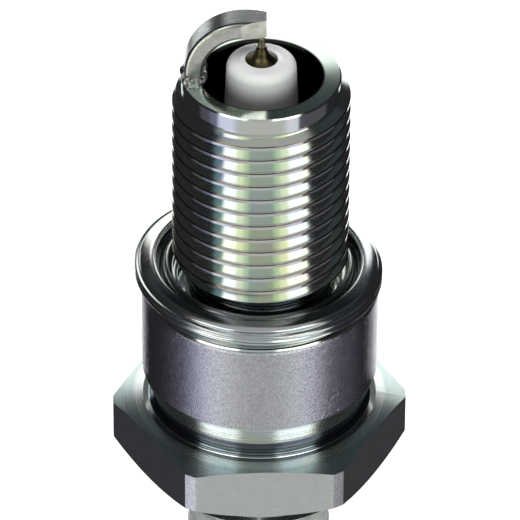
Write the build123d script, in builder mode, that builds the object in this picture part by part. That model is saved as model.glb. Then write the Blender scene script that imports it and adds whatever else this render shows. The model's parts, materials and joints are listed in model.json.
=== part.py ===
from build123d import *
import os
from math import radians, sqrt, tan

# Spark plug, M14 x 1.25 thread, 19 mm reach, 20.8 mm hexagon.
# +Z runs along the axis towards the firing end. The origin is the centre of the gasket's
# sealing face. The ground electrode stands on the -X side. All sizes are in millimetres.

os.makedirs("parts", exist_ok=True)

# ---- Driving dimensions -------------------------------------------------------------

# metal shell, outside
THREAD_PITCH = 1.25
THREAD_R = 6.95            # crest radius of the M14 thread
THREAD_DEPTH = 0.70
SHELL_END_Z = 17.5         # firing-end face
PILOT_R = 6.22             # plain nose ahead of the first thread
PILOT_LENGTH = 1.35
THREAD_END_Z = 0.1
THREAD_RUN_OUT = 1.39      # the groove starts in the undercut, this far below the thread
THREAD_TURNS = 15
RELIEF_R = 5.95            # undercut that holds the captive gasket
SEAT_Z = -2.4              # shoulder under the gasket
BARREL_R = 9.4
BARREL_BOTTOM_Z = -10.1
TAPER_R = 8.8
TAPER_BOTTOM_Z = -11.9
GROOVE_R = 8.55
HEX_ACROSS_FLATS = 20.8
HEX_CORNER_R = 11.75       # the corners are turned down to this radius
HEX_TURN = 2.5             # degrees from the ground electrode's plane
HEX_TOP_Z = -13.3
HEX_FACE_TOP_Z = -13.55    # top and bottom of a flat, at its middle
HEX_FACE_BOTTOM_Z = -17.95
HEX_TOP_DOME_R = 43.0      # both ends of the hexagon are turned to large radii
HEX_BOTTOM_DOME_R = 26.0
HEX_FOOT_R = 9.5
COLLAR_R = 8.7             # collar behind the hexagon, crimped over the insulator
CRIMP_Z = -21.0
CRIMP_LIP = 0.8

# metal shell, inside
MOUTH_R = 4.85
BORE_R = 4.75
LEDGE_R = 3.95             # inner ledge that carries the insulator
LEDGE_TOP_Z = 3.2
LEDGE_BOTTOM_Z = 2.2
SHOULDER_FALL = 0.75       # drop per unit of radius of the ledge and the insulator's shoulder
WIDE_BORE_R = 6.55
WIDE_BORE_Z = -4.9

# insulator
NOSE_TOP_Z = SHELL_END_Z + 1.45
NOSE_TIP_R = 2.7
NOSE_TIP_ROUND = 0.8
NOSE_ROOT_R = 3.5
TRUNK_R = 4.6
TRUNK_BOTTOM_Z = -4.6
MIDDLE_R = 6.4
MIDDLE_TOP_Z = -6.0
MIDDLE_BOTTOM_Z = -15.2
NECK_R = 5.25
NECK_Z = -16.3
INSULATOR_END_R = 4.3
INSULATOR_END_Z = -43.5
RIB_R = 5.75
RIB_COUNT = 5
RIB_PITCH = 2.3
RIB_WIDTH = 1.5
FIRST_RIB_Z = -24.2
CAVITY_R = 1.95            # cavity behind the centre electrode's head
BORE_CLEARANCE = 0.03

# packing between shell and insulator
WASHER_HEIGHT = 0.48
RING_WIRE_R = 0.5
RING_R = 6.02
LOWER_RING_Z = -16.28
UPPER_RING_Z = -19.23

# centre electrode and the parts behind it
ELECTRODE_R = 1.25
ELECTRODE_NECK_Z = NOSE_TOP_Z - 0.05
HEAD_R = 1.85
HEAD_TOP_Z = 0.3
HEAD_BOTTOM_Z = -1.6
CORE_R = 0.7
CORE_TOP_Z = SHELL_END_Z - 0.6
CORE_BOTTOM_Z = -0.9
TIP_R = 0.3
TIP_TOP_Z = SHELL_END_Z + 3.35
TIP_SHOULDER_Z = SHELL_END_Z + 2.45
TIP_SHOULDER_R = 0.42
TIP_SUNK = 0.25
LOWER_SEAL_BOTTOM_Z = -4.6
RESISTOR_BOTTOM_Z = -14.6
UPPER_SEAL_BOTTOM_Z = -17.8

# terminal
STUD_R = 1.6
STUD_TIP_Z = -16.8
FLANGE_R = 2.9
FLANGE_BOTTOM_Z = -44.4
STUD_THREAD_R = 2.0
STUD_THREAD_PITCH = 0.7
STUD_THREAD_DEPTH = 0.38
STUD_THREAD_TURNS = 9
STUD_END_Z = -51.2
NUT_R = 3.2
NUT_BORE_R = 2.04
NUT_WAIST_R = 2.6
NUT_TOP_Z = -44.5
NUT_END_Z = -52.9

# ground electrode, a flat strap welded to the firing-end face
STRAP_THICKNESS = 1.5
STRAP_WIDTH = 2.35
STRAP_CORNER = 0.33
STRAP_BEND_X = -1.33
STRAP_BEND_Z = SHELL_END_Z + 0.79
STRAP_BEND_R = 3.885       # at mid thickness
STRAP_TIP_X = 0.38
STRAP_TIP_WIDTH = 1.25
STRAP_TAPER_X = -1.6
WELD_FLANGE = 0.14         # beyond the strap's thickness, on each side
WELD_SPREAD = 0.5          # beyond the strap's width, on each side
WELD_HEIGHT = 0.34


# ---- Shared shapes ------------------------------------------------------------------

def profile(outline):
    """A closed outline of (radius, z) points, as a face in the XZ plane."""
    with BuildSketch(Plane.XZ) as sketch:
        with BuildLine():
            Polyline(*outline, close=True)
        make_face()
    return sketch.sketch


def thread_groove(crest_r, depth, z):
    """Section of a 60 degree thread groove with a small chamfer at the crest."""
    root_r = crest_r - depth
    chamfer_r = crest_r - 0.1 * depth
    outer_r = crest_r + 0.06 * depth
    half_root = 0.11 * depth
    half_chamfer = half_root + (chamfer_r - root_r) * tan(radians(30))
    half_outer = half_chamfer + (outer_r - chamfer_r) * tan(radians(45))
    upper = [(root_r, half_root), (chamfer_r, half_chamfer), (outer_r, half_outer)]
    lower = [(r, -height) for r, height in reversed(upper)]
    return profile([(r, z + height) for r, height in upper + lower])


def cut_thread(crest_r, depth, pitch, start_z, turns):
    """Cut a right-hand thread into the part being built, turn by turn from +X at start_z."""
    for turn in range(turns):
        z = start_z + turn * pitch
        sweep(
            thread_groove(crest_r, depth, z),
            path=Helix(pitch, pitch, crest_r, center=(0, 0, z)),
            is_frenet=True,
            mode=Mode.SUBTRACT,
        )


# ---- Metal shell --------------------------------------------------------------------

flat_r = HEX_ACROSS_FLATS / 2
hex_core_r = 7.6           # inside the shell's wall, so that the two join solidly
top_dome_z = HEX_FACE_TOP_Z - sqrt(HEX_TOP_DOME_R**2 - flat_r**2)
bottom_dome_z = HEX_FACE_BOTTOM_Z + sqrt(HEX_BOTTOM_DOME_R**2 - flat_r**2)
hex_bottom_z = bottom_dome_z - sqrt(HEX_BOTTOM_DOME_R**2 - HEX_FOOT_R**2)

with BuildPart() as hexagon:
    with BuildSketch(Plane.XY.offset(hex_bottom_z)):
        RegularPolygon(flat_r, 6, major_radius=False, rotation=HEX_TURN)
    extrude(amount=HEX_TOP_Z - hex_bottom_z)
    with Locations((0, 0, (HEX_TOP_Z + hex_bottom_z) / 2)):
        Cylinder(HEX_CORNER_R, HEX_CORNER_R, mode=Mode.INTERSECT)
    with Locations((0, 0, top_dome_z)):
        Sphere(HEX_TOP_DOME_R, mode=Mode.INTERSECT)
    with Locations((0, 0, bottom_dome_z)):
        Sphere(HEX_BOTTOM_DOME_R, mode=Mode.INTERSECT)
    Hole(hex_core_r)

edge = 0.12                # broken edge of the firing-end face
seat_edge = 0.3            # chamfer round the gasket seat
groove_fillet = 0.35       # fillet between the groove and the hexagon
thread_start_z = SHELL_END_Z - PILOT_LENGTH
crimp_r = NECK_R + 0.35
shell_outline = [
    (MOUTH_R, SHELL_END_Z),
    (PILOT_R - edge, SHELL_END_Z),
    (PILOT_R, SHELL_END_Z - edge),
    (PILOT_R, thread_start_z),
    (THREAD_R, thread_start_z - 0.6 * (THREAD_R - PILOT_R)),
    (THREAD_R, THREAD_END_Z + 0.5),
    (RELIEF_R, THREAD_END_Z - 0.2),
    (RELIEF_R, SEAT_Z),
    (BARREL_R - seat_edge, SEAT_Z),
    (BARREL_R, SEAT_Z - seat_edge),
    (BARREL_R, BARREL_BOTTOM_Z),
    (TAPER_R, TAPER_BOTTOM_Z),
    (GROOVE_R, TAPER_BOTTOM_Z - 0.25),
    (GROOVE_R, HEX_TOP_Z + groove_fillet),
    (GROOVE_R + groove_fillet, HEX_TOP_Z),
    (GROOVE_R + groove_fillet, HEX_TOP_Z - 1),
    (COLLAR_R, hex_bottom_z + 1),
    (COLLAR_R, CRIMP_Z + 1.6),
    (COLLAR_R - 0.5, CRIMP_Z + 0.55),
    (COLLAR_R - 1.6, CRIMP_Z),
    (crimp_r, CRIMP_Z),
    (crimp_r, CRIMP_Z + CRIMP_LIP),
    (WIDE_BORE_R, CRIMP_Z + CRIMP_LIP + 0.7),
    (WIDE_BORE_R, WIDE_BORE_Z),
    (BORE_R, WIDE_BORE_Z + 1.3),
    (BORE_R, LEDGE_BOTTOM_Z - (BORE_R - LEDGE_R) * SHOULDER_FALL),
    (LEDGE_R, LEDGE_BOTTOM_Z),
    (LEDGE_R, LEDGE_TOP_Z),
    (BORE_R, LEDGE_TOP_Z + 0.8),
    (BORE_R, SHELL_END_Z - 0.25),
]

with BuildPart() as metal_shell:
    revolve(profile(shell_outline), axis=Axis.Z)
    cut_thread(THREAD_R, THREAD_DEPTH, THREAD_PITCH, THREAD_END_Z - THREAD_RUN_OUT, THREAD_TURNS)
    add(hexagon.part)
metal_shell.part.label = "metal_shell"

# ---- Ground electrode and its weld ----------------------------------------------------

strap_root_x = STRAP_BEND_X - STRAP_BEND_R
strap_top_z = STRAP_BEND_Z + STRAP_BEND_R

with BuildPart() as ground_electrode:
    with BuildLine(Plane.XZ) as strap_path:
        Line((strap_root_x, SHELL_END_Z), (strap_root_x, STRAP_BEND_Z))
        RadiusArc((strap_root_x, STRAP_BEND_Z), (STRAP_BEND_X, strap_top_z), STRAP_BEND_R)
        Line((STRAP_BEND_X, strap_top_z), (STRAP_TIP_X, strap_top_z))
    with BuildSketch(Plane.XY.offset(SHELL_END_Z)):
        with Locations((strap_root_x, 0)):
            RectangleRounded(STRAP_THICKNESS, STRAP_WIDTH, STRAP_CORNER)
    sweep(path=strap_path.line)
    # two straight cuts narrow the free end
    with BuildSketch(Plane.XY.offset(strap_top_z - STRAP_THICKNESS)):
        for side in (1, -1):
            with BuildLine():
                Polyline(
                    (STRAP_TAPER_X, side * STRAP_WIDTH / 2),
                    (STRAP_TIP_X, side * STRAP_TIP_WIDTH / 2),
                    (STRAP_TIP_X + 1, side * STRAP_TIP_WIDTH / 2),
                    (STRAP_TIP_X + 1, side * STRAP_WIDTH),
                    (STRAP_TAPER_X, side * STRAP_WIDTH),
                    close=True,
                )
            make_face()
    extrude(amount=2 * STRAP_THICKNESS, mode=Mode.SUBTRACT)
ground_electrode.part.label = "ground_electrode"

with BuildPart() as ground_electrode_weld:
    with BuildSketch(Plane.XY.offset(SHELL_END_Z)):
        with Locations((strap_root_x, 0)):
            RectangleRounded(
                STRAP_THICKNESS + 2 * WELD_FLANGE, STRAP_WIDTH + 2 * WELD_SPREAD, STRAP_CORNER
            )
    extrude(amount=WELD_HEIGHT)
    chamfer(ground_electrode_weld.edges().group_by(Axis.Z)[-1], WELD_FLANGE - 0.05)
    with BuildSketch(Plane.XY.offset(SHELL_END_Z)):
        with Locations((strap_root_x, 0)):
            RectangleRounded(STRAP_THICKNESS, STRAP_WIDTH, STRAP_CORNER)
    extrude(amount=WELD_HEIGHT, mode=Mode.SUBTRACT)
ground_electrode_weld.part.label = "ground_electrode_weld"

# ---- Captive folded gasket --------------------------------------------------------------

# heights above the seat; the upper fold stands on the lower fold, and a thin lip reaches inwards
gasket_outline = [
    (6.45, 0.02), (9.15, 0.02), (9.5, 0.14), (9.62, 0.4), (9.45, 0.66), (9.36, 0.76),
    (9.55, 0.92), (9.72, 1.2), (9.77, 1.5), (9.62, 1.95), (9.32, 2.28), (9.0, 2.4),
    (8.6, 2.4), (8.36, 2.2), (8.25, 1.6), (8.1, 1.3), (7.85, 1.42), (7.55, 1.3),
    (7.3, 0.85), (6.9, 0.55), (6.45, 0.5),
]
with BuildPart() as gasket:
    revolve(profile([(r, SEAT_Z + height) for r, height in gasket_outline]), axis=Axis.Z)
gasket.part.label = "gasket"

# ---- Insulator ----------------------------------------------------------------------------

shoulder_top_z = LEDGE_BOTTOM_Z - WASHER_HEIGHT - 0.02
hole_r = ELECTRODE_R + BORE_CLEARANCE
last_rib_z = FIRST_RIB_Z - (RIB_COUNT - 1) * RIB_PITCH

with BuildPart() as insulator:
    body = profile([
        (hole_r, NOSE_TOP_Z),
        (NOSE_TIP_R, NOSE_TOP_Z),
        (NOSE_TIP_R + 0.1, NOSE_TOP_Z - 2.4),
        (NOSE_ROOT_R, shoulder_top_z + (LEDGE_R - NOSE_ROOT_R) * SHOULDER_FALL),
        (TRUNK_R, shoulder_top_z - (TRUNK_R - LEDGE_R) * SHOULDER_FALL),
        (TRUNK_R, TRUNK_BOTTOM_Z),
        (MIDDLE_R, MIDDLE_TOP_Z),
        (MIDDLE_R, MIDDLE_BOTTOM_Z),
        (NECK_R, NECK_Z),
        (NECK_R, last_rib_z - RIB_WIDTH),
        (INSULATOR_END_R, INSULATOR_END_Z),
        (CAVITY_R, INSULATOR_END_Z),
        (CAVITY_R, HEAD_TOP_Z - 0.5),
        (hole_r, HEAD_TOP_Z + 0.1),
    ])
    revolve(body, axis=Axis.Z)
    nose_rim = insulator.edges().filter_by(GeomType.CIRCLE).group_by(Axis.Z)[-1]
    fillet(nose_rim.sort_by(SortBy.RADIUS)[-1], NOSE_TIP_ROUND)
    end_rim = insulator.edges().filter_by(GeomType.CIRCLE).group_by(Axis.Z)[0]
    fillet(end_rim.sort_by(SortBy.RADIUS)[-1], 0.5)
    for rib in range(RIB_COUNT):
        rib_z = FIRST_RIB_Z - rib * RIB_PITCH
        with BuildSketch(Plane.XZ):
            with Locations(((NECK_R + RIB_R) / 2 - 0.4, rib_z)):
                RectangleRounded(RIB_R - NECK_R + 0.8, RIB_WIDTH, 0.45)
        revolve(axis=Axis.Z)
insulator.part.label = "insulator"

# ---- Packing between the shell and the insulator -------------------------------------------

with BuildPart() as packing_washer:
    washer_inner_r = LEDGE_R + 0.03
    washer_outer_r = TRUNK_R - 0.02
    washer_outer_z = LEDGE_BOTTOM_Z - (washer_outer_r - LEDGE_R) * SHOULDER_FALL
    washer_inner_z = LEDGE_BOTTOM_Z - (washer_inner_r - LEDGE_R) * SHOULDER_FALL
    washer = profile([
        (washer_inner_r, washer_inner_z - 0.01),
        (washer_outer_r, washer_outer_z - 0.01),
        (washer_outer_r, washer_outer_z - WASHER_HEIGHT),
        (washer_inner_r, washer_inner_z - WASHER_HEIGHT),
    ])
    revolve(washer, axis=Axis.Z)
packing_washer.part.label = "packing_washer"

packing_rings = {}
for name, ring_z in (("lower_packing_ring", LOWER_RING_Z), ("upper_packing_ring", UPPER_RING_Z)):
    with BuildPart() as packing_ring:
        with BuildSketch(Plane.XZ):
            with Locations((RING_R, ring_z)):
                Circle(RING_WIRE_R)
        revolve(axis=Axis.Z)
    packing_ring.part.label = name
    packing_rings[name] = packing_ring.part

with BuildPart() as talc_filler:
    talc = profile([
        (NECK_R + 0.02, LOWER_RING_Z - RING_WIRE_R - 0.01),
        (WIDE_BORE_R - 0.02, LOWER_RING_Z - RING_WIRE_R - 0.01),
        (WIDE_BORE_R - 0.02, UPPER_RING_Z + RING_WIRE_R + 0.01),
        (NECK_R + 0.02, UPPER_RING_Z + RING_WIRE_R + 0.01),
    ])
    revolve(talc, axis=Axis.Z)
talc_filler.part.label = "talc_filler"

# ---- Centre electrode -----------------------------------------------------------------------

with BuildPart() as centre_electrode:
    with BuildSketch(Plane.XZ):
        with BuildLine():
            flare_foot = (ELECTRODE_R, ELECTRODE_NECK_Z)
            flare_top = (TIP_SHOULDER_R, TIP_SHOULDER_Z)
            Polyline(
                flare_top,
                (0, TIP_SHOULDER_Z),
                (0, HEAD_BOTTOM_Z),
                (HEAD_R, HEAD_BOTTOM_Z),
                (HEAD_R, HEAD_TOP_Z - 0.55),
                (ELECTRODE_R, HEAD_TOP_Z - 0.05),
                flare_foot,
            )
            ThreePointArc(flare_foot, (0.74, ELECTRODE_NECK_Z + 0.38), flare_top)
        make_face()
    revolve(axis=Axis.Z)
    with BuildSketch(Plane.XY.offset(CORE_BOTTOM_Z)):
        Circle(CORE_R)
    extrude(amount=CORE_TOP_Z - CORE_BOTTOM_Z, mode=Mode.SUBTRACT)
    with BuildSketch(Plane.XY.offset(TIP_SHOULDER_Z - TIP_SUNK)):
        Circle(TIP_R)
    extrude(amount=TIP_SUNK, mode=Mode.SUBTRACT)
centre_electrode.part.label = "centre_electrode"

with BuildPart() as copper_core:
    with BuildSketch(Plane.XY.offset(CORE_BOTTOM_Z)):
        Circle(CORE_R)
    extrude(amount=CORE_TOP_Z - CORE_BOTTOM_Z)
copper_core.part.label = "copper_core"

with BuildPart() as fine_wire_tip:
    with BuildSketch(Plane.XY.offset(TIP_SHOULDER_Z - TIP_SUNK)):
        Circle(TIP_R)
    extrude(amount=TIP_TOP_Z - TIP_SHOULDER_Z + TIP_SUNK)
    chamfer(fine_wire_tip.edges().group_by(Axis.Z)[-1], 0.03)
fine_wire_tip.part.label = "fine_wire_tip"

with BuildPart() as tip_weld_bead:
    bead = profile([
        (TIP_R, TIP_SHOULDER_Z),
        (TIP_SHOULDER_R, TIP_SHOULDER_Z),
        (TIP_SHOULDER_R - 0.03, TIP_SHOULDER_Z + 0.09),
        (TIP_R, TIP_SHOULDER_Z + 0.16),
    ])
    revolve(bead, axis=Axis.Z)
tip_weld_bead.part.label = "tip_weld_bead"

# ---- Conductor behind the centre electrode ------------------------------------------------------

fill_r = CAVITY_R - 0.02
conductor_parts = {}
for name, top_z, bottom_z in (
    ("lower_glass_seal", HEAD_BOTTOM_Z, LOWER_SEAL_BOTTOM_Z),
    ("resistor", LOWER_SEAL_BOTTOM_Z, RESISTOR_BOTTOM_Z),
    ("upper_glass_seal", RESISTOR_BOTTOM_Z, UPPER_SEAL_BOTTOM_Z),
):
    with BuildPart() as conductor:
        with BuildSketch(Plane.XY.offset(bottom_z)):
            Circle(fill_r)
        extrude(amount=top_z - bottom_z)
        if name == "upper_glass_seal":
            with BuildSketch(Plane.XY.offset(bottom_z)):
                Circle(STUD_R)
            extrude(amount=STUD_TIP_Z - bottom_z, mode=Mode.SUBTRACT)
    conductor.part.label = name
    conductor_parts[name] = conductor.part

# ---- Terminal stud and its removable nut -----------------------------------------------------------

with BuildPart() as terminal_stud:
    stud = profile([
        (0, STUD_TIP_Z),
        (STUD_R, STUD_TIP_Z),
        (STUD_R, INSULATOR_END_Z - 0.02),
        (FLANGE_R, INSULATOR_END_Z - 0.02),
        (FLANGE_R, FLANGE_BOTTOM_Z),
        (STUD_THREAD_R - STUD_THREAD_DEPTH - 0.05, FLANGE_BOTTOM_Z),
        (STUD_THREAD_R - STUD_THREAD_DEPTH - 0.05, FLANGE_BOTTOM_Z - 0.6),
        (STUD_THREAD_R, FLANGE_BOTTOM_Z - 0.95),
        (STUD_THREAD_R, STUD_END_Z + 0.45),
        (STUD_THREAD_R - 0.45, STUD_END_Z),
        (0, STUD_END_Z),
    ])
    revolve(stud, axis=Axis.Z)
    cut_thread(
        STUD_THREAD_R, STUD_THREAD_DEPTH, STUD_THREAD_PITCH, STUD_END_Z - 0.3, STUD_THREAD_TURNS
    )
terminal_stud.part.label = "terminal_stud"

with BuildPart() as terminal_nut:
    nut = profile([
        (NUT_BORE_R + 0.25, NUT_TOP_Z),
        (NUT_R - 0.2, NUT_TOP_Z),
        (NUT_R, NUT_TOP_Z - 0.2),
        (NUT_R, NUT_TOP_Z - 2.6),
        (NUT_WAIST_R, NUT_TOP_Z - 3.2),
        (NUT_WAIST_R, NUT_TOP_Z - 4.3),
        (NUT_R - 0.05, NUT_TOP_Z - 4.9),
        (NUT_R - 0.05, NUT_END_Z + 1.7),
        (NUT_R - 0.75, NUT_END_Z + 0.25),
        (NUT_R - 1.0, NUT_END_Z),
        (NUT_BORE_R + 0.12, NUT_END_Z),
        (NUT_BORE_R, NUT_END_Z + 0.12),
        (NUT_BORE_R, NUT_TOP_Z - 0.25),
    ])
    revolve(nut, axis=Axis.Z)
terminal_nut.part.label = "terminal_nut"

# ---- Files ---------------------------------------------------------------------------------------------

parts = {
    "metal_shell": metal_shell.part,
    "ground_electrode": ground_electrode.part,
    "ground_electrode_weld": ground_electrode_weld.part,
    "gasket": gasket.part,
    "insulator": insulator.part,
    "packing_washer": packing_washer.part,
    **packing_rings,
    "talc_filler": talc_filler.part,
    "centre_electrode": centre_electrode.part,
    "copper_core": copper_core.part,
    "fine_wire_tip": fine_wire_tip.part,
    "tip_weld_bead": tip_weld_bead.part,
    **conductor_parts,
    "terminal_stud": terminal_stud.part,
    "terminal_nut": terminal_nut.part,
}
for name, part in parts.items():
    export_step(part, f"parts/{name}.step")
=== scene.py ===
import bpy
import bmesh
import json
from math import cos, degrees, pi, radians, sin
from mathutils import Matrix, Vector, noise


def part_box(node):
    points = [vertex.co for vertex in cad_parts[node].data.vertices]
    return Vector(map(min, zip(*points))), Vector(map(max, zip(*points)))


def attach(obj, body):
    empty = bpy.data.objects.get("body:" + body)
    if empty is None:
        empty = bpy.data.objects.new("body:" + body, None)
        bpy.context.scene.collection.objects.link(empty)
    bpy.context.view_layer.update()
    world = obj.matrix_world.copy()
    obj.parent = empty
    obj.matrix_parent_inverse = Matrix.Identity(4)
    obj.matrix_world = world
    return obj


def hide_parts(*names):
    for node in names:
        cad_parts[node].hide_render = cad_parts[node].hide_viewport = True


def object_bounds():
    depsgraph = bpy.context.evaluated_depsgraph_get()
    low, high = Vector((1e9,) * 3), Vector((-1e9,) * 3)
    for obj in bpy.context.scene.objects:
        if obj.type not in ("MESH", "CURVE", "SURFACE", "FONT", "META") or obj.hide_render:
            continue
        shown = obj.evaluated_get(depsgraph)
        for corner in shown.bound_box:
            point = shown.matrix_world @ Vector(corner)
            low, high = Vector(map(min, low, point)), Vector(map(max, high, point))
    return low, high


# Spark plug: plated steel shell with a captive folded gasket, white insulator, fine-wire
# centre electrode and bent ground strap. Lengths are in metres, in the CAD's frame: +Z runs
# along the axis to the firing end, and the origin is the centre of the gasket's sealing face.

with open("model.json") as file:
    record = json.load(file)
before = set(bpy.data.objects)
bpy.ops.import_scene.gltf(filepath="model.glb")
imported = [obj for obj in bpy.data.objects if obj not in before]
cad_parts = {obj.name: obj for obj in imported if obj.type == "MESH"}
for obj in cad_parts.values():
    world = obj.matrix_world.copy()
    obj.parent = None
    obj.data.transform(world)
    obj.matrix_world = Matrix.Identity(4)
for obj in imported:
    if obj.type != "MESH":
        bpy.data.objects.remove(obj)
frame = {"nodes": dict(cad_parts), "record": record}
cad_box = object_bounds()

MM = 0.001
WELD_LOW, WELD_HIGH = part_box("ground_electrode_weld")
STRAP_THICKNESS = 1.5 * MM


# ---- Camera ---------------------------------------------------------------------------

CAMERA_DISTANCE = 500 * MM
CAMERA_ELEVATION = radians(36.4)
CAMERA_ROLL = radians(0.36)
AIM = Vector((-0.02 * MM, 0, -0.34 * MM))   # point on the axis just under the gasket's face
IMAGE_SIDE = 520
FOCAL_PIXELS = 6328.5
SENSOR = 36.0


def add_camera():
    data = bpy.data.cameras.new("camera")
    data.sensor_width = SENSOR
    data.lens = FOCAL_PIXELS / IMAGE_SIDE * SENSOR
    data.clip_start = 0.01
    data.clip_end = 20
    camera = bpy.data.objects.new("camera", data)
    bpy.context.scene.collection.objects.link(camera)
    back = Vector((0, -cos(CAMERA_ELEVATION), sin(CAMERA_ELEVATION)))
    turn = (-back).to_track_quat("-Z", "Y").to_matrix().to_4x4()
    roll = Matrix.Rotation(CAMERA_ROLL, 4, "Z")
    camera.matrix_world = Matrix.Translation(AIM + back * CAMERA_DISTANCE) @ turn @ roll
    bpy.context.scene.camera = camera


# ---- Node graphs ------------------------------------------------------------------------

class Graph:
    """Short forms for the shader nodes that the materials and the studio are made of."""

    def __init__(self, tree):
        self.tree = tree

    def node(self, kind, *values, **settings):
        """A node with its first inputs set to values or linked to sockets; returns it."""
        node = self.tree.nodes.new("ShaderNode" + kind)
        for name, value in settings.items():
            setattr(node, name, value)
        for socket, value in zip(node.inputs, values):
            self.put(socket, value)
        return node

    def put(self, socket, value):
        if value is None:
            return
        if isinstance(value, bpy.types.NodeSocket):
            self.tree.links.new(value, socket)
        else:
            socket.default_value = value

    def math(self, operation, a, b=None):
        return self.node("Math", a, b, operation=operation).outputs[0]

    def times(self, first, *others):
        for other in others:
            first = self.math("MULTIPLY", first, other)
        return first

    def add(self, first, *others):
        for other in others:
            first = self.math("ADD", first, other)
        return first

    def place(self):
        """A point's own position, as a vector and as x, y, z and distance from the axis."""
        vector = self.node("TexCoord").outputs["Object"]
        x, y, z = self.node("SeparateXYZ", vector).outputs
        radius = self.math("SQRT", self.add(self.times(x, x), self.times(y, y)))
        return vector, x, y, z, radius

    def facing(self):
        """The three parts of the surface's own direction."""
        return self.node("SeparateXYZ", self.node("NewGeometry").outputs["Normal"]).outputs

    def step(self, value, low, high):
        """0 below low and 1 above high, smooth between; low may be the larger."""
        node = self.node("MapRange", value, low, high, 0.0, 1.0, interpolation_type="SMOOTHSTEP")
        if low > high:
            self.put(node.inputs[1], high)
            self.put(node.inputs[2], low)
            self.put(node.inputs[3], 1.0)
            self.put(node.inputs[4], 0.0)
        return node.outputs[0]

    def window(self, value, low, high, soft_low, soft_high):
        """1 between low and high, fading outwards over soft_low and soft_high."""
        rise = self.step(value, low - soft_low, low)
        fall = self.step(value, high + soft_high, high)
        return self.times(rise, fall)

    def mix(self, factor, a, b, blend="MIX"):
        """The colour a where factor is 0 and b where it is 1."""
        node = self.tree.nodes.new("ShaderNodeMix")
        node.data_type = "RGBA"
        node.blend_type = blend
        self.put(node.inputs[0], factor)
        self.put(node.inputs[6], a)
        self.put(node.inputs[7], b)
        return node.outputs[2]

    def blend(self, factor, a, b):
        """A number that goes from a to b with factor."""
        return self.node("MapRange", factor, 0.0, 1.0, a, b).outputs[0]

    def choose(self, mask, a, b):
        """The number a where mask is 0 and b where it is 1."""
        node = self.node("Mix", data_type="FLOAT")
        self.put(node.inputs[0], mask)
        self.put(node.inputs[2], a)
        self.put(node.inputs[3], b)
        return node.outputs[0]

    def lines(self, value, per_metre, detail=2.0):
        """Turning marks: noise that changes with one number only."""
        node = self.node("TexNoise", noise_dimensions="1D")
        self.put(node.inputs["W"], self.times(value, per_metre))
        self.put(node.inputs["Scale"], 1.0)
        self.put(node.inputs["Detail"], detail)
        return node.outputs[0]

    def noise(self, vector, scale, detail=3.0, roughness=0.5):
        node = self.node("TexNoise")
        self.put(node.inputs["Vector"], vector)
        self.put(node.inputs["Scale"], scale)
        self.put(node.inputs["Detail"], detail)
        self.put(node.inputs["Roughness"], roughness)
        return node.outputs[0]

    def vector_math(self, operation, a, b=None):
        return self.node("VectorMath", a, b, operation=operation).outputs[0]

    def grain(self, vector, scale, detail=3.0, roughness=0.5):
        """Noise drawn out along an axis: scale has one frequency for each."""
        return self.noise(self.vector_math("MULTIPLY", vector, scale), 1.0, detail, roughness)

    def bump(self, height, strength, distance):
        node = self.node("Bump")
        self.put(node.inputs["Strength"], strength)
        self.put(node.inputs["Distance"], distance)
        self.put(node.inputs["Height"], height)
        return node.outputs[0]


def grey(value):
    return (value, value, value, 1)


def rgb(r, g, b):
    return (r, g, b, 1)


# ---- Studio: a light tent, painted on the world by direction ------------------------------

TENT_DARK = (0.020, 0.020, 0.022, 1)        # where there is no panel

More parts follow.
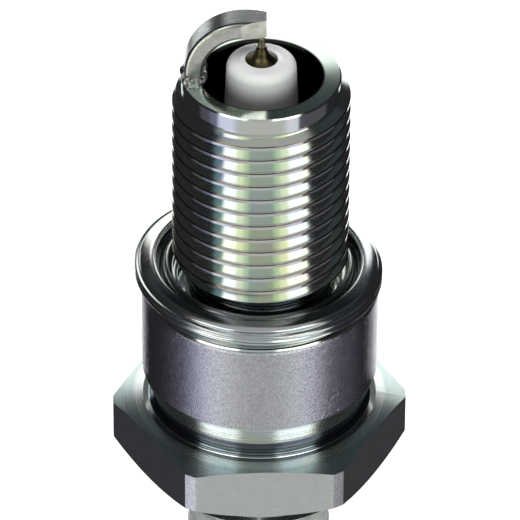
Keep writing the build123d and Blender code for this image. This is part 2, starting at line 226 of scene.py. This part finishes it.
# Each panel: coordinates, first range, second range (degrees), softness of its four edges,
# colour and strength; a later panel covers an earlier one. "side" panels use azimuth from
# the front, positive to the right, and elevation; "back" panels the same from the back;
# "top" panels the lean from the zenith to the right and to the back.
PANELS = [
    # the gap between the two strip lights: grey-green, dimmer higher up, neutral low down
    ("side", (-18, 19), (-28, 10), (4, 4, 6, 6), (0.40, 0.45, 0.385), 1.0),
    ("side", (-20, 20), (9, 34), (8, 8, 5, 5), (0.13, 0.17, 0.18), 1.0),
    ("side", (-20, 19), (39, 58), (6, 6, 4, 5), (0.42, 0.46, 0.46), 1.0),
    ("side", (-58, 40), (-80, -28), (6, 6, 6, 5), (0.50, 0.50, 0.51), 1.0),
    # coloured rims of the strip lights
    ("side", (-26, -18), (-28, 4), (3, 3, 5, 5), (0.66, 0.84, 0.55), 1.0),
    ("side", (-36, -25), (-28, 4), (3, 3, 5, 5), (1.0, 1.0, 0.70), 1.15),
    ("side", (19, 28), (-28, 4), (3, 3, 5, 5), (0.66, 0.84, 0.55), 1.0),
    ("side", (27, 39), (-28, 4), (3, 3, 5, 5), (1.0, 1.0, 0.70), 1.15),
    ("side", (-60, -49), (-28, 20), (8, 3, 5, 5), (0.16, 0.27, 0.30), 1.0),
    # the strip lights, dimmed half way up
    ("side", (-50, -35), (-27, 2), (3, 3, 4, 5), (1.0, 1.0, 0.98), 1.75),
    ("side", (38, 63), (-27, 2), (3, 2, 4, 5), (1.0, 1.0, 0.98), 1.75),
    ("side", (-54, -26), (9, 34), (5, 7, 4, 5), (0.80, 0.96, 1.0), 0.62),
    ("side", (26, 60), (9, 34), (7, 5, 4, 5), (0.80, 0.96, 1.0), 0.62),
    ("side", (-66, -26), (41, 56), (3, 4, 4, 4), (1.0, 1.0, 1.0), 2.3),
    ("side", (22, 62), (41, 56), (4, 3, 4, 4), (1.0, 1.0, 1.0), 2.3),
    # the same lights in the pale table, seen by upright surfaces
    ("side", (-94, -66), (-60, -28), (8, 6, 6, 6), (0.085, 0.078, 0.10), 1.0),
    ("side", (-74, -63), (-62, -29), (10, 6, 6, 4), (0.16, 0.16, 0.24), 1.0),
    ("side", (-62, -44), (-62, -29), (6, 12, 6, 4), (0.80, 0.82, 1.0), 0.90),
    ("side", (42, 55), (-62, -29), (12, 4, 6, 4), (0.80, 0.82, 1.0), 0.88),
    ("side", (58, 104), (-60, -28), (4, 8, 6, 6), (0.085, 0.078, 0.10), 1.0),
    # overhead, a dim ceiling
    ("top", (-24, 24), (-30, 4), (8, 8, 6, 6), (0.40, 0.40, 0.39), 1.0),
    # white backdrop, narrower above the table's edge, and the dim room over it
    ("back", (-20, 29), (-89, -24), (4, 4, 2, 6), (1.0, 0.99, 1.0), 1.45),
    ("back", (-20, 22), (-26, 31.5), (5, 6, 6, 3.5), (1.0, 1.02, 1.0), 1.45),
    ("back", (-44, -33), (-14, 10), (3, 2, 4, 4), (0.85, 0.95, 1.0), 1.2),
    ("back", (-30, 60), (36, 70), (25, 25, 4, 15), (0.035, 0.045, 0.048), 1.0),
]


def add_tent():
    world = bpy.data.worlds.new("studio")
    bpy.context.scene.world = world
    world.use_nodes = True
    tree = world.node_tree
    g = Graph(tree)
    x, y, z = g.node("SeparateXYZ", g.node("TexCoord").outputs["Generated"]).outputs
    in_degrees = degrees(1)

    def angle(a, b):
        return g.times(g.math("ARCTAN2", a, b), in_degrees)

    elevation = g.times(g.math("ARCSINE", z), in_degrees)
    pairs = {
        "side": (angle(x, g.times(y, -1.0)), elevation),
        "back": (angle(x, y), elevation),
        "top": (angle(x, z), angle(y, z)),
    }
    colour = TENT_DARK
    for kind, (a0, a1), (b0, b1), soft, tint, strength in PANELS:
        a, b = pairs[kind]
        mask = g.times(g.window(a, a0, a1, *soft[:2]), g.window(b, b0, b1, *soft[2:]))
        colour = g.mix(mask, colour, tuple(strength * c for c in tint) + (1,))
    tree.links.new(colour, tree.nodes["Background"].inputs[0])


# ---- Floor and lamps -----------------------------------------------------------------------

FLOOR_RADIUS = 3.0
FLOOR_RISE = 1.2
FLOOR_FLAT = 0.55          # share of the radius that is flat
FLOOR_RINGS = 24
FLOOR_SEGMENTS = 96
FLOOR_DROP = 10.5 * MM     # room for the terminal nut, which comes 9 mm down its stud


def add_floor():
    """A pale round sweep: flat under the object and curving up far away from it."""
    bm = bmesh.new()
    base_z = cad_box[0][2] - FLOOR_DROP
    rows = [[bm.verts.new((0, 0, base_z))]]
    for ring in range(1, FLOOR_RINGS + 1):
        share = ring / FLOOR_RINGS
        radius = FLOOR_RADIUS * share
        height = FLOOR_RISE * max(0.0, (share - FLOOR_FLAT) / (1 - FLOOR_FLAT)) ** 2
        turns = [2 * pi * k / FLOOR_SEGMENTS for k in range(FLOOR_SEGMENTS)]
        points = [(radius * cos(t), radius * sin(t), base_z + height) for t in turns]
        rows.append([bm.verts.new(point) for point in points])
    for inner, outer in zip(rows, rows[1:]):
        for k in range(FLOOR_SEGMENTS):
            following = (k + 1) % FLOOR_SEGMENTS
            if len(inner) == 1:
                bm.faces.new((inner[0], outer[k], outer[following]))
            else:
                bm.faces.new((inner[k], outer[k], outer[following], inner[following]))
    mesh = bpy.data.meshes.new("floor")
    bm.to_mesh(mesh)
    bm.free()
    mesh.polygons.foreach_set("use_smooth", [True] * len(mesh.polygons))
    floor = bpy.data.objects.new("floor", mesh)
    bpy.context.scene.collection.objects.link(floor)
    for ray in ("glossy", "diffuse", "transmission", "shadow"):
        setattr(floor, "visible_" + ray, False)
    material = bpy.data.materials.new("floor_paper")
    material.use_nodes = True
    g = Graph(material.node_tree)
    shader = material.node_tree.nodes["Principled BSDF"]
    paper = g.noise(g.node("TexCoord").outputs["Object"], 60, 2)
    g.put(shader.inputs["Base Color"], g.mix(paper, grey(0.90), grey(0.94)))
    g.put(shader.inputs["Roughness"], 0.9)
    g.put(shader.inputs["Specular IOR Level"], 0.1)
    g.put(shader.inputs["Emission Color"], grey(1.0))
    g.put(shader.inputs["Emission Strength"], 0.7)
    mesh.materials.append(material)


def add_lamp(name, azimuth, elevation, distance, size, power):
    """A square soft box aimed at the origin; azimuth 0 is the front, positive to the right.

    Glossy rays don't see it: the metal reflects the tent only.
    """
    data = bpy.data.lights.new(name, "AREA")
    data.shape = "SQUARE"
    data.size = size
    data.energy = power
    lamp = bpy.data.objects.new(name, data)
    bpy.context.scene.collection.objects.link(lamp)
    a, e = radians(azimuth), radians(elevation)
    place = Vector((sin(a) * cos(e), -cos(a) * cos(e), sin(e))) * distance
    turn = place.to_track_quat("Z", "Y").to_matrix().to_4x4()
    lamp.matrix_world = Matrix.Translation(place) @ turn
    lamp.visible_glossy = False
    lamp.visible_camera = False


# ---- Materials -----------------------------------------------------------------------------

# Where the object's surfaces lie, for their masks. These pairs are a surface's two ends.
BARREL_Z = (-10.0 * MM, -2.6 * MM)
NECK_Z = (-13.2 * MM, -10.3 * MM)          # taper and groove between barrel and hexagon
GROOVE_Z = (-13.24 * MM, -11.93 * MM)
THREAD_Z = (0.2 * MM, 15.9 * MM)
FOLD_GROOVE_R = (7.74 * MM, 8.12 * MM)     # in the gasket
CREST_R = (8.36 * MM, 9.0 * MM)            # of the gasket
# These are the start and the end of a fade. The shell's:
HEXAGON_Z = (-13.2 * MM, -13.4 * MM)
GROOVE_LINES_Z = (-12.75 * MM, -12.5 * MM)
END_FACE_Z = (17.3 * MM, 17.42 * MM)
CORNER_R = (11.62 * MM, 11.72 * MM)
HEX_INNER_R = (10.25 * MM, 9.9 * MM)
BORE_R = (5.02 * MM, 4.86 * MM)
BORE_Z = (2.0 * MM, 2.5 * MM)
# The gasket's, all for its painted shade:
FOLD_R = (8.16 * MM, 8.0 * MM)
FOLD_Z = (-0.1 * MM, -0.5 * MM)
FOLD_FRONT_Y = (-2.0 * MM, -5.0 * MM)      # painted shade: the folds are painted darker at the front
CREST_FRONT_Y = (-3 * MM, -6 * MM)
# The strap's:
STRAP_TOP_X = (-3.9 * MM, -3.2 * MM)
STRAP_END_Z = (20 * MM, 21 * MM)
# The insulator's:
NOSE_SHADE_Z = (16.3 * MM, 18.2 * MM)      # painted shade: the nose is painted grey at the first, white at the second
NOSE_MOUTH_R = (1.75 * MM, 1.5 * MM)
NOSE_MOUTH_Y = (-0.5 * MM, 0.1 * MM)       # painted highlight: the nose's mouth is painted bright at the back only
NOSE_MOUTH_Z = (18.5 * MM, 18.7 * MM)
GLAZE_Z = (-15 * MM, -17 * MM)

END_FACE_LEAN = 0.065                      # slope to which the end face is turned


def new_material(name):
    material = bpy.data.materials.new(name)
    material.use_nodes = True
    shader = material.node_tree.nodes["Principled BSDF"]
    return material, Graph(material.node_tree), shader


def finish_metal(g, shader, colour, roughness, normal):
    g.put(shader.inputs["Metallic"], 1.0)
    g.put(shader.inputs["Base Color"], colour)
    g.put(shader.inputs["Roughness"], roughness)
    g.put(shader.inputs["Normal"], normal)


def plating_tint(g, place, base, amount):
    """Faint interference colours of thin plating, drifting over the surface."""
    drift = g.noise(place, 260, 2, 0.4)
    ramp = g.node("ValToRGB", drift)
    stops = [
        (0.30, (0.90, 0.88, 1.0)), (0.42, (0.90, 0.97, 1.0)), (0.50, (0.95, 1.0, 0.93)),
        (0.58, (1.0, 1.0, 0.86)), (0.70, (1.0, 0.92, 0.90)),
    ]
    while len(ramp.color_ramp.elements) < len(stops):
        ramp.color_ramp.elements.new(0.5)
    for element, (position, tint) in zip(ramp.color_ramp.elements, stops):
        element.position = position
        element.color = tint + (1,)
    tinted = g.mix(1.0, base, ramp.outputs[0], "MULTIPLY")
    return g.mix(amount, base, tinted)


def plated_steel():
    """The shell: bright thread and end face, satin barrel, milled and turned hexagon; painted
    shade darkens the groove, the bore and the thread's crest edges.
    """
    material, g, shader = new_material("plated_steel")
    place, x, y, z, radius = g.place()
    normal_z = g.facing()[2]
    barrel = g.window(z, *BARREL_Z, 0.15 * MM, 0.1 * MM)
    hexagon = g.step(z, *HEXAGON_Z)
    flats = g.times(hexagon, g.window(normal_z, -0.12, 0.12, 0.06, 0.06))
    tops = g.times(hexagon, g.step(normal_z, 0.5, 0.8))
    corners = g.times(flats, g.step(radius, *CORNER_R))
    thread = g.window(z, *THREAD_Z, 0.1 * MM, 0.2 * MM)
    crest_edge_shade = g.times(thread, g.window(normal_z, 0.62, 0.76, 0.05, 0.05))
    bore_shade = g.times(g.step(radius, *BORE_R), g.step(z, *BORE_Z))
    end_face = g.times(g.step(z, *END_FACE_Z), g.step(normal_z, 0.8, 0.95))
    groove = g.window(z, *GROOVE_Z, 0.03 * MM, 0.03 * MM)
    neck = g.window(z, *NECK_Z, 0.1 * MM, 0.1 * MM)

    grain = g.noise(place, 7200, 3, 0.6)
    blotches = g.noise(place, 1250, 6, 0.75)
    clouds = g.noise(place, 330, 4, 0.6)
    streaks = g.grain(place, (9000.0, 9000.0, 700.0))
    scratches = g.grain(place, (900.0, 900.0, 9000.0), 4, 0.7)
    pits = g.step(g.noise(place, 2600, 4, 0.7), 0.60, 0.72)
    rings = g.lines(radius, 9000.0, 3.0)

    roughness = g.choose(barrel, g.blend(clouds, 0.08, 0.15), g.blend(blotches, 0.17, 0.30))
    roughness = g.choose(flats, roughness, g.blend(blotches, 0.26, 0.40))
    roughness = g.choose(tops, roughness, g.blend(rings, 0.12, 0.26))

    bright = plating_tint(g, place, rgb(0.82, 0.84, 0.82), 0.6)
    specks = g.step(grain, 0.30, 0.70)
    satin = g.mix(blotches, rgb(0.60, 0.59, 0.65), rgb(0.80, 0.80, 0.84))
    satin = g.mix(specks, g.mix(0.30, satin, grey(0.1)), satin)
    milled = g.mix(blotches, rgb(0.68, 0.70, 0.71), rgb(0.82, 0.84, 0.84))
    milled = g.mix(specks, g.mix(0.12, milled, grey(0.1)), milled)
    worn = g.mix(g.step(grain, 0.42, 0.58), rgb(0.66, 0.66, 0.68), rgb(0.92, 0.92, 0.92))
    turned = g.mix(rings, rgb(0.38, 0.50, 0.51), rgb(0.68, 0.79, 0.77))
    turned = g.mix(g.step(radius, *HEX_INNER_R), turned, rgb(0.84, 0.87, 0.87))
    groove_lines = g.step(g.lines(z, 7600.0), 0.46, 0.56)
    # painted shade: the groove is painted dark, with fine turning lines in it, and plain dark
    # above the lines
    groove_lines_and_shade = g.mix(groove_lines, rgb(0.04, 0.055, 0.06), rgb(0.26, 0.31, 0.33))
    groove_lines_and_shade = g.mix(g.step(z, *GROOVE_LINES_Z), groove_lines_and_shade, rgb(0.24, 0.24, 0.30))
    colour = g.mix(barrel, bright, satin)
    colour = g.mix(flats, colour, milled)
    colour = g.mix(corners, colour, worn)
    colour = g.mix(g.times(tops, 0.8), colour, turned)
    colour = g.mix(g.times(end_face, 0.6), colour, rgb(0.66, 0.80, 0.70))
    colour = g.mix(groove, colour, groove_lines_and_shade)
    # painted shade: a dark brown line along the thread's crest edges
    colour = g.mix(crest_edge_shade, colour, rgb(0.16, 0.12, 0.08))
    # painted shade: the bore is painted dark, with cloudy variation
    colour = g.mix(bore_shade, colour, g.mix(clouds, rgb(0.05, 0.055, 0.05), rgb(0.17, 0.18, 0.165)))

    satin_relief = g.add(g.times(grain, 5.0), g.times(scratches, 1.5))
    satin_relief = g.times(g.math("SUBTRACT", satin_relief, g.times(pits, 2.5)), barrel)
    relief = g.add(
        satin_relief,
        g.times(g.add(grain, g.times(streaks, 0.5)), flats),
        g.times(rings, tops, 0.7),
        g.times(clouds, 0.5),
        g.times(neck, g.times(g.lines(z, 5200.0), 3.0)),
    )
    # the end face is turned slightly conical: its normal leans outwards, least to the sides
    lean = g.math("DIVIDE", g.times(end_face, END_FACE_LEAN), radius)
    outwards = g.node("CombineXYZ", g.times(x, g.times(lean, 0.3)), g.times(y, lean), 0.0)
    leaning = g.vector_math("ADD", g.bump(relief, 0.45, 0.012 * MM), outwards.outputs[0])
    finish_metal(g, shader, colour, roughness, g.vector_math("NORMALIZE", leaning))
    return material


def nickel_alloy():
    """The ground strap: drawn nickel, brushed along its top, with painted shade darkening the
    top and the underside, and paler at the cut end.
    """
    material, g, shader = new_material("nickel_alloy")
    place = g.node("TexCoord").outputs["Object"]
    x, _, z = g.node("SeparateXYZ", place).outputs
    normal_x, _, normal_z = g.facing()
    brushed = g.grain(place, (500.0, 6500.0, 2600.0), 4, 0.65)
    scuff = g.grain(place, (1600.0, 2600.0, 1600.0), 5, 0.65)
    mottle = g.noise(place, 1100, 5, 0.65)
    top = g.times(g.step(normal_z, 0.55, 0.9), g.step(x, *STRAP_TOP_X))
    cut = g.times(g.step(normal_x, 0.7, 0.9), g.step(z, *STRAP_END_Z))
    inner = g.step(normal_z, -0.2, -0.6)
    colour = g.mix(g.step(mottle, 0.32, 0.68), rgb(0.66, 0.64, 0.60), rgb(0.86, 0.84, 0.80))
    # painted shade: the top is painted darker; its brushed grain is real
    colour = g.mix(top, colour, g.mix(brushed, rgb(0.15, 0.155, 0.155), rgb(0.46, 0.47, 0.47)))
    colour = g.mix(cut, colour, rgb(0.93, 0.93, 0.92))
    # painted shade: the downward-facing underside is painted darker
    colour = g.mix(inner, colour, rgb(0.30, 0.30, 0.27))
    relief = g.add(scuff, g.times(brushed, top))
    finish_metal(g, shader, colour, g.blend(scuff, 0.18, 0.32), g.bump(relief, 0.45, 0.012 * MM))
    g.put(shader.inputs["Metallic"], g.blend(cut, 1.0, 0.25))
    return material


def weld_metal():
    """The weld flash: dark and pale lumps that froze as they were squeezed out."""
    material, g, shader = new_material("weld_metal")
    place = g.node("TexCoord").outputs["Object"]
    lumps = g.noise(place, 2600, 4, 0.6)
    colour = g.mix(g.step(lumps, 0.35, 0.65), rgb(0.20, 0.20, 0.19), rgb(0.66, 0.66, 0.64))
    finish_metal(g, shader, colour, g.blend(lumps, 0.22, 0.42), g.bump(lumps, 0.5, 0.03 * MM))
    return material


def plated_gasket():
    """The folded ring: bright, with painted shade where its folds shut out the light and along
    its crest at the front.
    """
    material, g, shader = new_material("plated_gasket")
    place, _, y, z, radius = g.place()
    clouds = g.noise(place, 420, 4, 0.55)
    scuffs = g.noise(place, 2300, 4, 0.65)
    folds = g.times(g.step(radius, *FOLD_R), g.step(z, *FOLD_Z))
    groove = g.window(radius, *FOLD_GROOVE_R, 0.04 * MM, 0.04 * MM)
    crest = g.window(radius, *CREST_R, 0.06 * MM, 0.1 * MM)
    # painted shade: dark in the folds and their groove, deeper at the front, and on the crest at
    # the front
    painted_fold_shade = g.times(folds, g.blend(g.step(y, *FOLD_FRONT_Y), 0.25, 0.85))
    painted_fold_shade = g.math("MAXIMUM", painted_fold_shade, g.times(groove, folds, 0.93))
    painted_fold_shade = g.math("MAXIMUM", painted_fold_shade, g.times(crest, g.step(y, *CREST_FRONT_Y), 0.8))
    base = g.mix(clouds, rgb(0.70, 0.71, 0.73), rgb(0.84, 0.85, 0.85))
    base = g.mix(painted_fold_shade, base, rgb(0.07, 0.07, 0.075))
    colour = plating_tint(g, place, base, 0.4)
    finish_metal(g, shader, colour, g.blend(scuffs, 0.09, 0.22), g.bump(clouds, 0.3, 0.02 * MM))
    return material


def glazed_ceramic():
    """White alumina: satin at the nose, glazed on the ribs and the terminal end."""
    material, g, shader = new_material("glazed_ceramic")
    place, _, y, z, radius = g.place()
    glazed = g.step(z, *GLAZE_Z)
    speck = g.noise(place, 3800, 3, 0.55)
    cloud = g.noise(place, 420, 3, 0.5)
    mouth_highlight = g.times(g.step(radius, *NOSE_MOUTH_R), g.step(y, *NOSE_MOUTH_Y))
    mouth_highlight = g.times(mouth_highlight, g.step(z, *NOSE_MOUTH_Z))
    colour = g.mix(cloud, rgb(0.72, 0.72, 0.705), rgb(0.78, 0.78, 0.765))
    colour = g.mix(g.step(speck, 0.66, 0.74), colour, rgb(0.62, 0.61, 0.58))
    # painted shade: the nose darkens downwards, where the shell's bore shades it
    colour = g.mix(g.step(z, *NOSE_SHADE_Z), rgb(0.16, 0.16, 0.155), colour)
    # painted highlight: the mouth round the centre electrode is painted bright at the back
    colour = g.mix(mouth_highlight, colour, grey(0.97))
    colour = g.mix(glazed, colour, g.mix(cloud, rgb(0.84, 0.84, 0.82), rgb(0.90, 0.90, 0.88)))
    g.put(shader.inputs["Base Color"], colour)
    g.put(shader.inputs["Roughness"], g.blend(glazed, 0.42, 0.12))
    g.put(shader.inputs["Subsurface Weight"], 0.12)
    g.put(shader.inputs["Subsurface Radius"], (1.0, 0.9, 0.8))
    g.put(shader.inputs["Subsurface Scale"], 0.4 * MM)
    g.put(shader.inputs["Normal"], g.bump(speck, 0.15, 0.01 * MM))
    return material


def dark_nickel():
    """Centre electrode: heat-tinted bronze brown with a mottled skin."""
    material, g, shader = new_material("dark_nickel")
    place = g.node("TexCoord").outputs["Object"]
    heat = g.noise(place, 1400, 4, 0.6)
    skin = g.noise(place, 5200, 3, 0.6)
    colour = g.mix(g.step(heat, 0.3, 0.7), rgb(0.055, 0.045, 0.018), rgb(0.21, 0.165, 0.085))
    finish_metal(g, shader, colour, g.blend(skin, 0.22, 0.42), g.bump(skin, 0.35, 0.01 * MM))
    return material


def fine_wire():
    """The wire in the centre electrode: drawn, and browned by heat."""
    material, g, shader = new_material("fine_wire")
    place = g.node("TexCoord").outputs["Object"]
    skin = g.grain(place, (5200.0, 5200.0, 1400.0), 4, 0.6)
    colour = g.mix(g.step(skin, 0.3, 0.7), rgb(0.13, 0.10, 0.065), rgb(0.42, 0.36, 0.29))
    finish_metal(g, shader, colour, g.blend(skin, 0.22, 0.40), g.bump(skin, 0.4, 0.01 * MM))
    return material


def plain_metal(name, low, high, rough_low, rough_high):
    """A metal whose colour and roughness wander between two values."""
    material, g, shader = new_material(name)
    place = g.node("TexCoord").outputs["Object"]
    wander = g.noise(place, 1600, 4, 0.6)
    turned = g.grain(place, (300.0, 300.0, 9000.0))
    colour = g.mix(wander, rgb(*low), rgb(*high))
    roughness = g.blend(wander, rough_low, rough_high)
    finish_metal(g, shader, colour, roughness, g.bump(turned, 0.3, 0.006 * MM))
    return material


def plain_solid(name, low, high, roughness, scale, relief):
    """A matt filling: pressed powder, fused glass or carbon compound."""
    material, g, shader = new_material(name)
    place = g.node("TexCoord").outputs["Object"]
    grains = g.noise(place, scale, 5, 0.65)
    g.put(shader.inputs["Base Color"], g.mix(grains, rgb(*low), rgb(*high)))
    g.put(shader.inputs["Roughness"], g.blend(grains, roughness - 0.1, roughness + 0.1))
    g.put(shader.inputs["Normal"], g.bump(grains, 0.5, relief * MM))
    return material


# Two colours, and the roughness at each.
PLAIN_METALS = {
    "bare_steel": ((0.50, 0.50, 0.50), (0.66, 0.66, 0.65), 0.22, 0.38),
    "copper": ((0.70, 0.36, 0.24), (0.86, 0.50, 0.36), 0.20, 0.34),
    "plated_nut": ((0.72, 0.73, 0.73), (0.84, 0.85, 0.85), 0.12, 0.22),
}
# Two colours, roughness, frequency of the grains, and their relief in millimetres.
PLAIN_SOLIDS = {
    "talc": ((0.72, 0.70, 0.66), (0.88, 0.87, 0.84), 0.85, 2600, 0.03),
    "glass_seal": ((0.20, 0.17, 0.15), (0.38, 0.33, 0.29), 0.40, 2200, 0.02),
    "resistor_compound": ((0.06, 0.06, 0.07), (0.18, 0.18, 0.19), 0.65, 3200, 0.02),
}


def make_materials():
    """A material for each slot of the record, by the slot's name."""
    materials = {
        "plated_steel": plated_steel(),
        "nickel_alloy": nickel_alloy(),
        "plated_gasket": plated_gasket(),
        "glazed_ceramic": glazed_ceramic(),
        "dark_nickel": dark_nickel(),
        "fine_wire": fine_wire(),
    }
    for name, values in PLAIN_METALS.items():
        materials[name] = plain_metal(name, *values)
    for name, values in PLAIN_SOLIDS.items():
        materials[name] = plain_solid(name, *values)
    return materials


def dress_nodes(materials):
    """Each CAD node takes the material of its slot in the record."""
    slots = {part["node"]: part["material_slot"] for part in frame["record"]["subparts"]}
    for name, obj in frame["nodes"].items():
        for material_slot in obj.material_slots:
            material_slot.material = materials[slots[name]]


# ---- Rings: the gasket and the weld flash --------------------------------------------------

def closed_ring(name, rows, material, levels):
    """A closed tube through rows of points, each row a section, smoothed by subdivision."""
    bm = bmesh.new()
    loops = [[bm.verts.new(point) for point in row] for row in rows]
    for loop, following in zip(loops, loops[1:] + loops[:1]):
        for i in range(len(loop)):
            j = (i + 1) % len(loop)
            bm.faces.new((loop[i], following[i], following[j], loop[j]))
    bmesh.ops.recalc_face_normals(bm, faces=bm.faces)
    mesh = bpy.data.meshes.new(name)
    bm.to_mesh(mesh)
    bm.free()
    mesh.polygons.foreach_set("use_smooth", [True] * len(mesh.polygons))
    mesh.materials.append(material)
    obj = bpy.data.objects.new(name, mesh)
    bpy.context.scene.collection.objects.link(obj)
    smooth = obj.modifiers.new("smooth", "SUBSURF")
    smooth.levels = levels
    smooth.render_levels = levels
    return obj


# Section of the folded ring, in millimetres from its own axis and from the sealing face,
# going round from the foot: outer fold, crest, groove, inner fold, lip.
GASKET_SECTION = [
    (9.00, -2.36), (9.14, -2.28), (9.24, -2.05), (9.36, -1.80), (9.62, -1.60),
    (9.82, -1.42), (9.84, -1.26), (9.70, -1.10), (9.60, -1.03), (9.70, -0.94),
    (9.84, -0.82), (9.82, -0.66), (9.62, -0.58), (9.50, -0.58), (9.46, -0.48),
    (9.36, -0.34), (9.10, -0.20), (8.82, -0.10), (8.50, 0.01), (8.24, 0.03),
    (8.12, -0.14), (8.08, -0.50), (8.04, -0.86), (7.92, -1.02), (7.76, -0.92), (7.68, -0.66),
    (7.48, -0.46), (7.22, -0.34), (7.10, -0.46), (7.02, -0.92), (6.90, -1.16), (6.66, -1.24),
    (6.46, -1.40), (6.38, -1.74), (6.46, -2.08), (6.80, -2.32), (7.60, -2.36), (8.40, -2.36),
]
GASKET_HEIGHT = 2.36        # of its section; this and the next four are in millimetres
GASKET_FOOT = -2.37         # no point is lower
GASKET_TILT = 0.14          # how much higher the fold stands on the left
GASKET_SWELL = 0.05         # unevenness of the folding
GASKET_RIM_R = 9.3          # the rim outside this radius droops with the tilt
GASKET_DROOP = 0.55         # by this share of the distance outside it
GASKET_SHIFT = -0.13 * MM   # it lies a little to one side of the undercut
GASKET_SEGMENTS = 96


def add_gasket(material):
    """The folded ring, standing a little higher on the left and unevenly folded."""
    rows = []
    for k in range(GASKET_SEGMENTS):
        angle = 2 * pi * k / GASKET_SEGMENTS
        c, s = cos(angle), sin(angle)
        row = []
        for radius, height in GASKET_SECTION:
            lift = 0.5 + 0.5 * height / GASKET_HEIGHT      # 0 at the foot, 0.5 at the crest
            swell = GASKET_SWELL * noise.noise(Vector((2.2 * c, 2.2 * s, 0.4 * height)))
            droop = GASKET_DROOP * max(0.0, radius - GASKET_RIM_R)
            r = radius + swell * lift
            z = max(height - c * (2 * GASKET_TILT * lift + droop), GASKET_FOOT)
            row.append((r * MM * c + GASKET_SHIFT, r * MM * s, z * MM))
        rows.append(row)
    obj = closed_ring("folded_gasket", rows, material, levels=2)
    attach(obj, "gasket")
    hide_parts("gasket")


WELD_STEPS = 80
WELD_ROUND = 12
WELD_GAP = 0.02 * MM        # the flash's middle line outside the strap, through its thickness
WELD_INSET = 0.36 * MM      # and inside the weld's box, through its width
WELD_RAISE = 0.1 * MM       # its middle line over the end face


def add_weld(material):
    """The lumpy flash that the welding squeezed out all round the foot of the strap."""
    middle = (WELD_LOW + WELD_HIGH) / 2
    middle.z = WELD_LOW.z + WELD_RAISE
    half_x = STRAP_THICKNESS / 2 + WELD_GAP
    half_y = (WELD_HIGH.y - WELD_LOW.y) / 2 - WELD_INSET
    rows = []
    for k in range(WELD_STEPS):
        angle = 2 * pi * k / WELD_STEPS
        c, s = cos(angle), sin(angle)
        # a rounded rectangle, and the direction away from it
        stretch = (abs(c) ** 5 + abs(s) ** 5) ** -0.2
        path = Vector((half_x * stretch * c, half_y * stretch * s, 0))
        outward = Vector((c * abs(c) ** 3 / half_x, s * abs(s) ** 3 / half_y, 0)).normalized()
        lump = noise.noise(Vector((2.6 * c, 2.6 * s, 0.7)))
        fine = noise.noise(Vector((9 * c, 9 * s, 3.1)))
        size = (0.27 + 0.05 * max(0.0, -s) + 0.14 * lump + 0.04 * fine) * MM
        lean = 0.10 * noise.noise(Vector((5 * c, 5 * s, 8.3))) * MM
        row = []
        for i in range(WELD_ROUND):
            turn = 2 * pi * i / WELD_ROUND
            ripple = 1 + 0.20 * noise.noise(Vector((4 * c + cos(turn), 4 * s, 2 + sin(turn))))
            aside = size * ripple * cos(turn) * 0.95 + lean
            up = size * ripple * sin(turn) * 1.35
            row.append(middle + path + outward * aside + Vector((0, 0, up)))
        rows.append(row)
    obj = closed_ring("weld_flash", rows, material, levels=1)
    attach(obj, "plug")
    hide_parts("ground_electrode_weld")


# ---- Build ----------------------------------------------------------------------------------

bpy.context.scene.view_settings.view_transform = "Standard"
add_camera()
add_tent()
add_floor()
add_lamp("key", azimuth=-5, elevation=66, distance=0.45, size=0.30, power=1.25)
add_lamp("fill", azimuth=30, elevation=40, distance=0.55, size=0.40, power=0.25)
materials = make_materials()
dress_nodes(materials)
add_gasket(materials["plated_gasket"])
add_weld(weld_metal())
